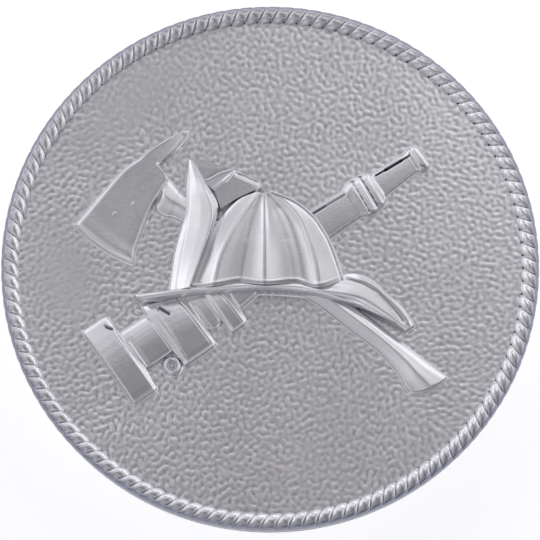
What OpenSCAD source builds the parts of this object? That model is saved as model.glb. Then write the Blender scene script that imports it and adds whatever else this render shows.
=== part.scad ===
// Round insignia pin with a rope border and a raised fire service emblem.
// Millimetres. The badge lies face up: X points to the right of the emblem, Y to its top and Z out of its face.
// The origin is under the middle of the nut, on the surface that the badge lies on.

/* [Disc] */
// Outer diameter over the rope border
badge_d = 25.4; // [24:0.1:27]
// Thickness of the plate from its back to its field
plate_t = 1.1; // [0.9:0.05:1.5]
// How far the edge of the plate stays inside the rope border
edge_inset = 0.14; // [0.08:0.01:0.2]

/* [Rope border] */
// Width of the rope, across the rim
rope_w = 0.86; // [0.75:0.01:0.95]
// Height of the rope's crest above the field
rope_rise = 0.42; // [0.3:0.01:0.55]
// Depth of the seat under the rope, below the field
seat_depth = 0.46; // [0.35:0.01:0.55]
// Number of strands round the border
strands = 120; // [96:4:132]
// How far a strand advances from the inner to the outer edge, in strands
strand_lean = 0.85; // [0.5:0.05:1.2]
// Depth of the grooves between strands
groove_depth = 0.1; // [0.05:0.01:0.13]

/* [Emblem] */
// Size of the emblem, as a share of its designed size
emblem_scale = 1; // [0.9:0.01:1.04]
// Thickness of the axe head
head_t = 0.42; // [0.35:0.01:0.5]
// Height of the nozzle's blocks and rings
hose_t = 0.54; // [0.5:0.01:0.58]
// Angle of the nozzle's axis above the horizontal
hose_angle = 34.9; // [34:0.1:36]

/* [Back] */
// Diameter of the post
post_d = 2.6; // [2:0.1:3.2]
// Diameter of the pad that joins the post to the plate
pad_d = 5; // [4:0.1:7]
// Thickness of that pad
pad_t = 0.4; // [0.3:0.05:0.6]
// Diameter of the round nut
nut_d = 14; // [11:0.5:18]
// Thickness of the round nut
nut_t = 1.5; // [1.2:0.1:2.2]
// Space for cloth between the nut and the plate
cloth_gap = 2.6; // [2:0.1:3.5]

/* [Hidden] */

gap = 0.03;                      // clearance between neighbouring pieces
thin_edge = 0.02;                // least thickness of a relief at its edge
chamfer = 0.12;                  // on the edges of turned pieces
round_fn = 96;                   // sides of a full turn
badge_r = badge_d / 2;
plate_r = badge_r - edge_inset;
rope_in_r = badge_r - rope_w;
back_z = nut_t + cloth_gap;      // back of the plate
field_z = back_z + plate_t;      // field, on which the emblem stands
seat_z = field_z - seat_depth;   // ledge on which the rope lies

bright = [0.82, 0.82, 0.84];
satin = [0.70, 0.70, 0.73];

// Relief tables are in millimetres on the field: x to the right, y up, z above the field.
X = 0;
Y = 1;
Z = 2;

// Axe head, from the cutting edge to the tip of the pick
// columns: upper edge x, y; lower edge x, y; share of the thickness; bulge of the section outwards
HEAD = [
    [-9.25, 2.05, -6.45, 0.15, 0.45, 0.22],
    [-9.12, 2.18, -6.42, 0.32, 1.00, 0.20],
    [-8.50, 2.90, -6.35, 0.90, 1.00, 0.10],
    [-7.75, 3.80, -6.05, 1.75, 1.00, 0.00],
    [-6.90, 4.75, -5.70, 2.70, 1.00, 0.00],
    [-6.20, 5.25, -5.38, 3.32, 1.00, 0.00],
    [-5.95, 5.45, -4.78, 4.18, 1.00, 0.00],
    [-5.50, 5.75, -5.28, 4.88, 1.00, 0.00],
    [-4.65, 6.32, -4.60, 5.55, 0.90, 0.00],
    [-3.87, 6.62, -3.97, 6.32, 0.60, 0.00]];

// Axe handle, from the eye to its flared end
// columns: upper edge x, y; lower edge x, y; height; bulge of the section outwards
HANDLE = [
    [-4.70, 4.17, -5.30, 3.27, 0.40, 0.00],
    [-4.58, 4.05, -5.38, 2.75, 0.42, 0.00],
    [-4.33, 3.78, -4.92, 2.47, 0.42, 0.00],
    [-3.97, 3.44, -4.38, 2.33, 0.38, 0.00],
    [-2.15, 2.10, -2.65, 1.25, 0.28, 0.00],
    [-0.20, 0.85, -0.70, 0.05, 0.20, 0.00],
    [1.65, -0.35, 1.15, -1.10, 0.26, 0.00],
    [2.95, -1.20, 2.35, -1.85, 0.38, 0.00],
    [4.50, -2.30, 3.90, -3.10, 0.44, 0.00],
    [5.55, -3.15, 5.00, -3.95, 0.46, 0.00],
    [6.65, -4.00, 5.95, -5.00, 0.48, 0.02],
    [7.45, -4.65, 6.35, -5.72, 0.50, -0.08],
    [8.30, -5.30, 6.57, -6.00, 0.48, -0.22]];

// Hose nozzle along its axis, from the coupling to the tip
// columns: distance along; reach above the axis; reach below it; height; how round its section is;
// underside
HOSE_START = [-7.05, -4.55];
HOSE_TABLE_T = 0.54;             // height of a full block in the table
HOSE = [
    [-0.66, 2.10, 2.02, 0.40, 1.0, 0],
    [-0.60, 2.17, 2.08, 0.56, 1.0, 0],
    [0.50, 2.17, 2.08, 0.56, 1.0, 0],
    [0.70, 2.12, 2.02, 0.38, 1.0, 0],
    [0.76, 1.13, 0.98, 0.40, 0.7, 0],
    [1.38, 1.13, 1.02, 0.42, 0.7, 0],
    [1.42, 1.13, 1.72, 0.42, 0.7, 0],
    [1.50, 1.13, 1.88, 0.43, 0.7, 0],
    [1.62, 1.13, 1.98, 0.44, 0.7, 0],
    [1.74, 1.12, 2.03, 0.44, 0.7, 0],
    [1.85, 1.12, 2.05, 0.44, 0.7, 0],
    [1.98, 1.12, 2.03, 0.44, 0.7, 0],
    [2.10, 1.12, 1.97, 0.43, 0.7, 0],
    [2.20, 1.11, 1.86, 0.42, 0.7, 0],
    [2.28, 1.10, 1.72, 0.36, 0.7, 0],
    [2.34, 1.56, 1.88, 0.34, 0.7, 0],
    [2.60, 1.53, 1.94, 0.54, 0.7, 0],
    [4.00, 1.02, 1.94, 0.54, 0.7, 0],
    [4.20, 0.93, 1.88, 0.38, 0.7, 0],
    [4.26, 0.84, 1.06, 0.34, 0.5, 0],
    [4.42, 0.83, 1.24, 0.35, 0.5, 0],
    [4.65, 0.82, 1.32, 0.35, 0.5, 0],
    [4.86, 0.82, 1.26, 0.35, 0.5, 0],
    [5.00, 0.82, 1.10, 0.34, 0.5, 0],
    [5.06, 0.80, 1.84, 0.38, 0.8, 0],
    [5.22, 0.80, 1.90, 0.54, 0.8, 0],
    [5.80, 0.80, 1.90, 0.54, 0.8, 0],
    [6.02, 0.80, 1.84, 0.38, 0.8, 0],
    [6.10, 0.80, 1.15, 0.44, 0.2, 0],
    [7.00, 0.86, 1.05, 0.46, 0.2, 0],
    [7.20, 0.87, 1.00, 0.46, 0.2, 0.27],
    [9.60, 0.92, 0.80, 0.46, 0.2, 0.27],
    [9.80, 0.92, 0.78, 0.46, 0.2, 0],
    [13.30, 0.92, 0.74, 0.46, 0.2, 0],
    [13.70, 0.97, 0.96, 0.52, 0.6, 0],
    [14.10, 0.97, 0.97, 0.52, 0.6, 0],
    [14.50, 0.92, 0.92, 0.52, 0.6, 0],
    [14.74, 0.78, 0.78, 0.48, 0.6, 0],
    [14.82, 0.66, 0.56, 0.42, 0.3, 0],
    [16.75, 0.60, 0.46, 0.42, 0.3, 0],
    [16.92, 0.64, 0.60, 0.50, 0.6, 0],
    [17.20, 0.62, 0.60, 0.50, 0.6, 0],
    [17.52, 0.44, 0.44, 0.34, 0.6, 0]];

// Helmet crown: lines from the top of the dome to the brim, left to right, as [x, y, z]
CROWN = [
    [[-0.66, 3.58, 0.56], [-1.50, 3.22, 0.56], [-2.25, 2.45, 0.56], [-2.78, 1.55, 0.58],
     [-3.22, 0.30, 0.60], [-3.80, -1.25, 0.62]],
    [[-0.60, 3.56, 0.61], [-1.40, 3.12, 0.66], [-2.10, 2.32, 0.70], [-2.54, 1.42, 0.73],
     [-2.90, 0.26, 0.76], [-3.42, -1.25, 0.79]],
    [[-0.50, 3.52, 0.66], [-1.00, 2.80, 0.80], [-1.55, 1.95, 0.90], [-2.00, 1.10, 0.98],
     [-2.40, 0.15, 1.04], [-2.70, -1.25, 1.08]],
    [[-0.40, 3.50, 0.66], [-0.62, 2.90, 0.70], [-0.85, 2.20, 0.76], [-1.05, 1.30, 0.82],
     [-1.25, 0.25, 0.87], [-1.46, -1.20, 0.92]],
    [[-0.28, 3.48, 0.68], [-0.27, 2.65, 0.86], [-0.26, 1.85, 0.98], [-0.25, 0.95, 1.08],
     [-0.25, -0.05, 1.15], [-0.25, -1.25, 1.20]],
    [[-0.16, 3.50, 0.66], [0.15, 2.90, 0.70], [0.45, 2.20, 0.76], [0.75, 1.30, 0.82],
     [1.00, 0.25, 0.87], [1.22, -1.20, 0.92]],
    [[-0.06, 3.52, 0.66], [0.75, 2.92, 0.80], [1.40, 2.12, 0.90], [1.78, 1.25, 0.98],
     [2.08, 0.20, 1.04], [2.30, -1.25, 1.08]],
    [[0.10, 3.60, 0.60], [1.20, 3.15, 0.60], [2.10, 2.40, 0.60], [2.75, 1.40, 0.62],
     [3.20, 0.30, 0.66], [3.62, -1.20, 0.72]]];

// Helmet brim: lines from its front tip to its back tip, front edge first, as [x, y, z]
BRIM = [
    [[-6.05, -1.78, 0.35], [-5.00, -1.66, 0.45], [-3.70, -1.46, 0.50], [-2.65, -1.38, 0.50],
     [-1.45, -1.30, 0.50], [-0.25, -1.26, 0.50], [1.20, -1.34, 0.50], [2.30, -1.50, 0.50],
     [3.30, -1.76, 0.48], [4.10, -2.00, 0.42], [4.80, -2.32, 0.38], [5.50, -2.66, 0.34],
     [6.00, -2.93, 0.30], [6.42, -3.18, 0.28]],
    [[-6.10, -1.72, 0.62], [-5.00, -1.58, 0.76], [-3.70, -1.38, 0.82], [-2.65, -1.30, 0.84],
     [-1.45, -1.22, 0.85], [-0.25, -1.18, 0.85], [1.20, -1.26, 0.85], [2.30, -1.42, 0.84],
     [3.30, -1.66, 0.72], [4.10, -1.90, 0.62], [4.78, -2.21, 0.56], [5.48, -2.56, 0.50],
     [5.98, -2.84, 0.45], [6.42, -3.10, 0.40]],
    [[-6.16, -1.66, 0.74], [-5.02, -1.50, 0.88], [-3.70, -1.30, 0.94], [-2.65, -1.22, 0.96],
     [-1.45, -1.12, 0.97], [-0.25, -1.12, 0.97], [1.20, -1.16, 0.97], [2.30, -1.34, 0.96],
     [3.30, -1.52, 0.86], [4.10, -1.74, 0.74], [4.72, -2.04, 0.66], [5.42, -2.45, 0.57],
     [5.96, -2.80, 0.50], [6.43, -3.07, 0.44]],
    [[-6.24, -1.60, 0.76], [-5.05, -1.42, 0.88], [-3.70, -1.22, 0.93], [-2.65, -1.16, 0.95],
     [-1.45, -1.02, 0.96], [-0.25, -1.08, 0.96], [1.20, -1.06, 0.96], [2.30, -1.26, 0.95],
     [3.28, -1.36, 0.95], [4.20, -1.45, 0.90], [4.80, -1.74, 0.84], [5.55, -2.28, 0.75],
     [6.06, -2.74, 0.64], [6.47, -3.03, 0.54]],
    [[-6.32, -1.54, 0.74], [-5.08, -1.36, 0.83], [-3.70, -1.17, 0.86], [-2.65, -1.11, 0.87],
     [-1.45, -0.92, 0.87], [-0.25, -1.04, 0.87], [1.20, -0.95, 0.87], [2.30, -1.19, 0.87],
     [3.45, -1.04, 0.78], [4.34, -1.00, 0.70], [5.12, -1.50, 0.64], [5.80, -2.08, 0.58],
     [6.27, -2.60, 0.53], [6.58, -2.96, 0.48]],
    [[-6.39, -1.48, 0.70], [-5.10, -1.30, 0.76], [-3.70, -1.12, 0.78], [-2.65, -1.06, 0.78],
     [-1.45, -0.86, 0.78], [-0.25, -1.00, 0.78], [1.20, -0.88, 0.78], [2.30, -1.12, 0.78],
     [3.58, -0.72, 0.78], [4.55, -0.72, 0.76], [5.42, -1.40, 0.71], [6.06, -1.96, 0.66],
     [6.48, -2.50, 0.60], [6.70, -2.86, 0.52]],
    [[-6.45, -1.42, 0.50], [-5.10, -1.26, 0.55], [-3.70, -1.08, 0.55], [-2.65, -1.02, 0.55],
     [-1.45, -0.82, 0.55], [-0.25, -0.97, 0.55], [1.20, -0.84, 0.55], [2.30, -1.08, 0.55],
     [3.55, -0.34, 0.50], [4.66, -0.44, 0.45], [5.58, -1.18, 0.42], [6.22, -1.74, 0.40],
     [6.64, -2.36, 0.36], [6.82, -2.78, 0.32]]];

// Front shield: lines from its tip to the brim, left to right, as [x, y, z]
SHIELD = [
    [[-3.90, 5.12, 0.42], [-3.96, 3.95, 0.46], [-3.96, 2.80, 0.48], [-4.20, 1.75, 0.48],
     [-4.50, 0.55, 0.48], [-4.74, -1.30, 0.48]],
    [[-3.84, 5.14, 0.50], [-3.78, 3.85, 0.62], [-3.80, 2.70, 0.66], [-3.96, 1.65, 0.66],
     [-4.20, 0.40, 0.66], [-4.48, -1.30, 0.66]],
    [[-3.76, 5.12, 0.54], [-3.50, 3.90, 0.80], [-3.30, 2.75, 0.88], [-3.38, 1.70, 0.90],
     [-3.66, 0.45, 0.90], [-4.14, -1.30, 0.90]],
    [[-3.69, 5.10, 0.54], [-3.20, 3.82, 0.92], [-2.72, 2.65, 1.03], [-2.84, 1.65, 1.06],
     [-3.22, 0.45, 1.06], [-3.84, -1.30, 1.06]],
    [[-3.60, 5.06, 0.45], [-2.98, 3.92, 0.62], [-2.45, 2.86, 0.66], [-2.66, 1.72, 0.64],
     [-3.08, 0.48, 0.64], [-3.72, -1.30, 0.64]]];

// Shield bracket: corners as [x, y, z], then its flat facets by corner
BRACKET = [
    [-3.45, 5.22, 0.42], [-3.72, 4.80, 0.42], [-3.02, 4.02, 0.42], [-1.70, 4.62, 0.52],
    [-2.85, 3.84, 0.30], [-2.62, 3.60, 0.60], [-1.70, 4.42, 0.68], [-0.50, 4.12, 0.58],
    [-0.22, 3.90, 0.58], [-0.65, 3.66, 0.60], [-1.50, 3.26, 0.60], [-2.34, 2.72, 0.55]];
BRACKET_RIM = [0, 1, 2, 4, 5, 11, 10, 9, 8, 7, 3];
BRACKET_FACETS = [[0, 1, 3], [1, 2, 3], [2, 4, 3], [4, 6, 3], [4, 5, 6], [5, 11, 10], [5, 10, 6],
                  [6, 10, 9], [6, 9, 7], [7, 9, 8], [3, 6, 7]];

// Section shapes: share of the width, inset from there in mm, share of the height
PLATE_SHAPE = [[0, 0, 0.4], [0, 0.14, 1], [0.25, 0, 1], [0.5, 0, 1], [0.75, 0, 1], [1, -0.1, 1], [1, 0, 0.4]];
ROUND_SHAPE = [[0, 0, 0.5], [0.08, 0, 0.68], [0.2, 0, 0.8], [0.35, 0, 0.93], [0.5, 0, 1],
               [0.68, 0, 0.88], [0.8, 0, 0.66], [0.92, 0, 0.42], [1, 0, 0.22]];
HOSE_FLAT = [[0, 0, 0.42], [0.04, 0, 0.62], [0.1, 0, 0.84], [0.17, 0, 0.98], [0.22, 0, 1], [0.4, 0, 1],
             [0.55, 0, 1], [0.7, 0, 1], [0.85, 0, 1], [0.93, 0, 0.96], [1, 0, 0.62]];
HOSE_ROUND = [[0, 0, 0.36], [0.04, 0, 0.51], [0.1, 0, 0.64], [0.17, 0, 0.75], [0.22, 0, 0.81], [0.4, 0, 0.96],
              [0.55, 0, 1], [0.7, 0, 0.96], [0.85, 0, 0.85], [0.93, 0, 0.75], [1, 0, 0.52]];

// A point of a smooth curve through the points p, a share f of the way from point i to the next
function nearest(p, i) = p[max(0, min(len(p) - 1, i))];
function curve_point(p, i, f) =
    let (a = nearest(p, i - 1), b = p[i], c = p[i + 1], d = nearest(p, i + 2))
    b + f * (c - a) / 2 + f * f * (2 * a - 5 * b + 4 * c - d) / 2 + f * f * f * (3 * b - a - 3 * c + d) / 2;

// The curve through p, with a number of steps from each point to the next
function smooth(p, steps) =
    [for (i = [0:len(p) - 2]) for (k = [0:steps - 1]) curve_point(p, i, k / steps), p[len(p) - 1]];

// Rows across the figure from lines along it
function rows_of(lines, steps) =
    let (curves = [for (line = lines) smooth(line, steps)])
    [for (i = [0:len(curves[0]) - 1]) [for (curve = curves) curve[i]]];

// One row of points over a section that runs from a to b, bulged along its normal
function section_row(a, b, height, bulge, shape) =
    let (width = norm(b - a), along = (b - a) / width, out = [along[Y], -along[X]])
    [for (s = shape)
        let (u = s[0] + s[1] / width, p = a + along * u * width + out * bulge * 4 * u * (1 - u))
        [p[X], p[Y], height * s[2]]];

// Corner numbers round the edge of a grid of n rows of m points
function rim_of(n, m) = concat(
    [for (j = [0:m - 1]) j], [for (i = [1:n - 1]) i * m + m - 1],
    [for (j = [m - 2:-1:0]) (n - 1) * m + j], [for (i = [n - 2:-1:1]) i * m]);

// Twice the signed area inside the corners of a rim: below zero where it runs clockwise
function turn_of(points, rim) =
    [for (k = [0:len(rim) - 1])
        let (p = points[rim[k]], q = points[rim[(k + 1) % len(rim)]]) p[X] * q[Y] - q[X] * p[Y]]
    * [for (k = rim) 1];

function reversed(list) = [for (k = [len(list) - 1:-1:0]) list[k]];

// Closed solid from surface triangles and the heights of the feet below its points
module standing(points, facets, rim, feet) {
    n = len(points);
    feet_points = [for (k = [0:n - 1]) [points[k][X], points[k][Y], feet[k]]];
    last = len(rim) - 1;
    walls = [for (k = [0:last]) let (p = rim[k], q = rim[k == last ? 0 : k + 1])
        each [[q, p, p + n], [q, p + n, q + n]]];
    soles = [for (f = facets) [f[2] + n, f[1] + n, f[0] + n]];
    faces = concat(facets, soles, walls);
    clockwise = turn_of(points, rim) < 0;
    polyhedron(concat(points, feet_points), clockwise ? faces : [for (f = faces) reversed(f)]);
}

// Closed solid under a grid of rows, with one foot height for each row
module relief(rows, feet) {
    n = len(rows);
    m = len(rows[0]);
    facets = [for (i = [0:n - 2]) for (j = [0:m - 2]) let (a = i * m + j)
        each [[a, a + 1, a + m + 1], [a, a + m + 1, a + m]]];
    standing([for (row = rows) each row], facets, rim_of(n, m), [for (foot = feet) for (j = [1:m]) foot]);
}

module relief_on_field(rows) relief(rows, [for (row = rows) 0]);

// Upright block over the outline of a grid, a little wider than it
module outline_block(points, rim) {
    below = -1;
    block_h = 4;
    translate([0, 0, below]) linear_extrude(block_h) offset(delta = gap)
        polygon([for (k = rim) [points[k][X], points[k][Y]]]);
}

module grid_block(rows) outline_block([for (row = rows) each row], rim_of(len(rows), len(rows[0])));

// Rows of the tools, widened by grow on every side
function axe_rows(table, scale_z, shape, grow) =
    [for (s = table)
        let (a = [s[0], s[1]], b = [s[2], s[3]], side = (b - a) / norm(b - a) * grow)
        section_row(a - side, b + side, s[4] * scale_z + grow, s[5], shape)];

function hose_rows(grow) =
    [for (s = HOSE)
        let (height = s[3] * hose_t / HOSE_TABLE_T + grow,
             shape = HOSE_FLAT + s[4] * (HOSE_ROUND - HOSE_FLAT),
             row = section_row([s[0], s[1] + grow], [s[0], -s[2] - grow], height, 0, shape))
        [for (p = row) [p[X], p[Y], max(p[Z], s[5] + thin_edge + grow)]]];

module on_hose_axis() translate([HOSE_START[X], HOSE_START[Y], 0]) rotate([0, 0, hose_angle]) children();

// The room that the handle and the nozzle need where they pass under the helmet
module tool_channels() {
    under = -1;
    handle = axe_rows(HANDLE, 1, ROUND_SHAPE, gap);
    hose = hose_rows(gap);
    relief(handle, [for (row = handle) under]);
    on_hose_axis() relief(hose, [for (row = hose) under]);
}

// A helmet piece with the tools' channels and its neighbours' outlines taken out, as one mesh
module fitted() {
    resize([0, 0, 0]) difference() {
        children(0);
        tool_channels();
        children([1:$children - 1]);
    }
}

curve_steps = 4;
crown_rows = rows_of(CROWN, curve_steps);
brim_rows = rows_of(BRIM, 2);
shield_rows = rows_of(SHIELD, curve_steps);

module on_field(colour) {
    color(colour) translate([0, 0, field_z + gap]) scale(emblem_scale) children();
}

module disc() {
    color(satin) rotate_extrude($fn = round_fn) polygon([
        [0, back_z], [plate_r - chamfer, back_z], [plate_r, back_z + chamfer], [plate_r, seat_z],
        [rope_in_r - gap, seat_z], [rope_in_r - gap, field_z], [0, field_z]]);
}

module rope_border() {
    per_strand = 3;
    // angles round the rope's section, from its inner foot over the crest to its outer foot
    section_angles = [-50, -5, 35, 72, 108, 145, 180, 228];
    // share of the groove's depth at each of a strand's three lines
    groove_share = [1, 0, 0.12];
    mid_r = badge_r - rope_w / 2;
    low_z = seat_z + gap;
    crest_z = field_z + rope_rise;
    half_h = (crest_z - low_z) / 2;
    mid_z = (crest_z + low_z) / 2;
    foot_sink = 1 / sin(50);     // brings the foot points down to the seat
    columns = strands * per_strand;
    m = len(section_angles);
    pitch = 360 / strands;
    points = [for (i = [0:columns - 1]) for (a = section_angles)
        let (shown = a > 0 && a < 180 ? 1 : 0.35,
             cut = groove_depth * groove_share[i % per_strand] * shown,
             r = mid_r - (rope_w / 2 - cut) * cos(a),
             z = mid_z + max(-half_h, (half_h - cut) * sin(a) * (a < -45 || a > 225 ? foot_sink : 1)),
             turn = i * pitch / per_strand - strand_lean * pitch * a / 180)
        [r * cos(turn), r * sin(turn), z]];
    faces = [for (i = [0:columns - 1]) for (j = [0:m - 1])
        let (next = (i + 1) % columns, up = (j + 1) % m)
        each [[i * m + j, next * m + j, next * m + up], [i * m + j, next * m + up, i * m + up]]];
    color(bright) polyhedron(points, faces);
}

module axe_head() on_field(bright) relief_on_field(axe_rows(HEAD, head_t, PLATE_SHAPE, 0));

module axe_handle() on_field(bright) relief_on_field(axe_rows(HANDLE, 1, ROUND_SHAPE, 0));

module hose_nozzle() on_field(bright) on_hose_axis() relief(hose_rows(0), [for (s = HOSE) s[5]]);

module helmet_crown() {
    on_field(bright) fitted() {
        relief_on_field(crown_rows);
        grid_block(shield_rows);
        grid_block(brim_rows);
        outline_block(BRACKET, BRACKET_RIM);
    }
}

module helmet_brim() on_field(bright) fitted() relief_on_field(brim_rows);

module helmet_shield() {
    on_field(bright) fitted() {
        relief_on_field(shield_rows);
        grid_block(brim_rows);
    }
}

module shield_bracket() {
    on_field(bright) fitted() {
        standing(BRACKET, BRACKET_FACETS, BRACKET_RIM, [for (p = BRACKET) 0]);
        grid_block(shield_rows);
    }
}

module back_post() {
    post_r = post_d / 2;
    top_z = back_z - gap;
    color(satin) rotate_extrude($fn = round_fn) polygon([
        [0, 0], [nut_d / 2 - chamfer, 0], [nut_d / 2, chamfer], [nut_d / 2, nut_t - chamfer],
        [nut_d / 2 - chamfer, nut_t], [post_r, nut_t], [post_r, top_z - pad_t], [pad_d / 2, top_z - pad_t],
        [pad_d / 2, top_z], [0, top_z]]);
}

disc();
rope_border();
axe_head();
axe_handle();
hose_nozzle();
helmet_crown();
helmet_brim();
helmet_shield();
shield_bracket();
back_post();
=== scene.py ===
"""Looks of the round insignia pin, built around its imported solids."""
import math

import bmesh
import bpy
import numpy as np
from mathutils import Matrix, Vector


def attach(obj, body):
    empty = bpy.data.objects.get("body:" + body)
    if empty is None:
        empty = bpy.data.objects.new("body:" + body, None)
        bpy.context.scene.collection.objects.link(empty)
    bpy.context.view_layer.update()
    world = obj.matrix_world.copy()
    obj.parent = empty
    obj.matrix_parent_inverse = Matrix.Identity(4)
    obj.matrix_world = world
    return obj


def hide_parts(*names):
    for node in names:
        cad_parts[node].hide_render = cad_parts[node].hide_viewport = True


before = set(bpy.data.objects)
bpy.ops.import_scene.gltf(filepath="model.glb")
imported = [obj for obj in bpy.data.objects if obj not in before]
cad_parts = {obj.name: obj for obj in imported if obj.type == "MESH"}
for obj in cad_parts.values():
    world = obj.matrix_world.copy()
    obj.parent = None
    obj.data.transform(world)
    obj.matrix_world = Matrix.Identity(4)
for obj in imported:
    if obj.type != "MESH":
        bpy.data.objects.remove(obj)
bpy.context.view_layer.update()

MM = 0.001
# SHADE is the fourth number of a point: its painted shade, how far its colour is darkened to stand in for shade
X, Y, Z, SHADE = 0, 1, 2, 3
TINY = 1e-9

# -------------------- sizes, in millimetres
BADGE_R = 12.7
EDGE_INSET = 0.14
ROPE_W = 0.86
ROPE_RISE = 0.42
SEAT_DEPTH = 0.46
BACK_Z = 4.1
FIELD_Z = 5.2
SEAT_Z = FIELD_Z - SEAT_DEPTH
GAP = 0.03
FIELD_UNDER_ROPE = 0.06
FIELD_R = BADGE_R - ROPE_W + FIELD_UNDER_ROPE
PLATE_R = BADGE_R - EDGE_INSET

# Reliefs of the emblem: distance from point to point; radius of their edges
SPACING = 0.04
EDGE_R = 0.035
# Points round such an edge, in degrees; share of a width that one edge may take; least angle of a sharp corner
EDGE_TURNS = [0, 25, 50, 75]
EDGE_SHARE = 0.3
SHARP = 62
# Wall of a relief: width of the fillet at its foot; share of the wall that its rings may take; height of its foot
WALL_FLARE, WALL_SHARE, WALL_FOOT = 0.09, 0.45, -0.03
# columns: height of a ring; share of the fillet's width; painted shade, darker low on the wall where shade falls
WALL_RINGS = [
    [0.150, 0.00, 0.10],
    [0.075, 0.12, 0.22],
    [0.032, 0.38, 0.16],
    [0.010, 0.72, 0.00]]

# A "steps" value is the number of steps from one point of a table to the next, and a "soft" value is how far
# a grid is softened, in its own steps
LINE_STEPS = 8
TOOL_POINTS = 161       # across an axe head, a handle or a nozzle

# Axe head, from the cutting edge to the tip of the pick
# columns: upper edge x, y; lower edge x, y; share of the thickness; bulge of the section outwards
HEAD_T = 0.42
HEAD = [
    [-9.25, 2.05, -6.45, 0.15, 0.45, 0.22],
    [-9.12, 2.18, -6.42, 0.32, 1.00, 0.20],
    [-8.50, 2.90, -6.35, 0.90, 1.00, 0.10],
    [-7.75, 3.80, -6.05, 1.75, 1.00, 0.00],
    [-6.90, 4.75, -5.70, 2.70, 1.00, 0.00],
    [-6.20, 5.25, -5.38, 3.32, 1.00, 0.00],
    [-5.95, 5.45, -4.78, 4.18, 1.00, 0.00],
    [-5.50, 5.75, -5.28, 4.88, 1.00, 0.00],
    [-4.65, 6.32, -4.60, 5.55, 0.90, 0.00],
    [-3.87, 6.62, -3.97, 6.32, 0.60, 0.00]]
HEAD_STEPS, HEAD_SOFT = 14, 1.5
# Its runs of stations from corner to corner, and its section: share of the way across, share of the height
HEAD_RUNS = [(0, 5), (5, 6), (6, 7), (7, 9)]
HEAD_SECTION = [[0, 0.45], [0.03, 0.86], [0.06, 0.98], [0.08, 1], [0.88, 1], [0.93, 0.97], [0.97, 0.90], [1, 0.62]]
# Lines along its edges, as points in plan; half width; depth, less than 0 if raised; painted shade in the cut
HEAD_LINES = [
    [[[-5.32, 4.93], [-4.92, 4.52], [-4.78, 4.18], [-5.38, 3.36]], 0.050, -0.035, 0.00],
    [[[-5.42, 3.30], [-5.75, 2.72], [-6.12, 1.80], [-6.42, 0.90], [-6.50, 0.40]], 0.055, -0.030, 0.00],
    [[[-9.12, 2.12], [-8.50, 2.82], [-7.75, 3.70], [-6.90, 4.65], [-5.95, 5.36], [-4.65, 6.22]],
     0.035, -0.020, 0.00],
    [[[-5.16, 4.98], [-4.60, 5.66], [-4.05, 6.32]], 0.030, 0.030, 0.45]]
# Its tiny specks: x, y, half width, rise
HEAD_SPECKS = [[-7.36, 2.50, 0.05, 0.03], [-6.48, 3.00, 0.045, 0.025], [-6.02, 3.71, 0.035, 0.010],
              [-3.98, 6.46, 0.09, 0.05]]
SPECK_LENGTH = 0.01

# Axe handle, from the eye to its flared end
# columns: upper edge x, y; lower edge x, y; height; bulge of the section outwards
HANDLE = [
    [-4.88, 4.30, -5.48, 3.40, 0.28, 0.00],
    [-4.72, 4.18, -5.32, 3.28, 0.36, 0.00],
    [-4.58, 4.05, -5.38, 2.75, 0.42, 0.00],
    [-4.33, 3.78, -4.92, 2.47, 0.42, 0.00],
    [-3.97, 3.44, -4.38, 2.33, 0.38, 0.00],
    [-2.15, 2.10, -2.65, 1.25, 0.28, 0.00],
    [-0.20, 0.85, -0.70, 0.05, 0.20, 0.00],
    [1.65, -0.35, 1.15, -1.10, 0.26, 0.00],
    [2.95, -1.20, 2.35, -1.85, 0.38, 0.00],
    [4.50, -2.30, 3.90, -3.10, 0.44, 0.00],
    [5.55, -3.15, 5.00, -3.95, 0.46, 0.00],
    [6.65, -4.00, 5.95, -5.00, 0.48, 0.02],
    [7.45, -4.65, 6.35, -5.72, 0.50, -0.08],
    [8.30, -5.30, 6.57, -6.00, 0.48, -0.22]]
HANDLE_STEPS, HANDLE_SOFT = 10, 2.5
HANDLE_SECTION = [
    [0, 0.38], [0.03, 0.48], [0.1, 0.64], [0.2, 0.80], [0.3, 0.91], [0.4, 0.97], [0.48, 1.0], [0.54, 0.98],
    [0.6, 0.92], [0.68, 0.79], [0.76, 0.66], [0.84, 0.56], [0.9, 0.50], [0.94, 0.48], [0.97, 0.46], [1, 0.26]]

# Hose nozzle: the start and the angle of its axis in plan
HOSE_START = np.array([-7.05, -4.55])
HOSE_ANGLE = 34.9
HOSE_TURN = math.radians(HOSE_ANGLE)
HOSE_AXIS = np.array([math.cos(HOSE_TURN), math.sin(HOSE_TURN)])
HOSE_SIDE = np.array([-math.sin(HOSE_TURN), math.cos(HOSE_TURN)])
# distance from row to row, and from point to point of its relief
HOSE_STEP, HOSE_SPACING = 0.02, 0.036
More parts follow.
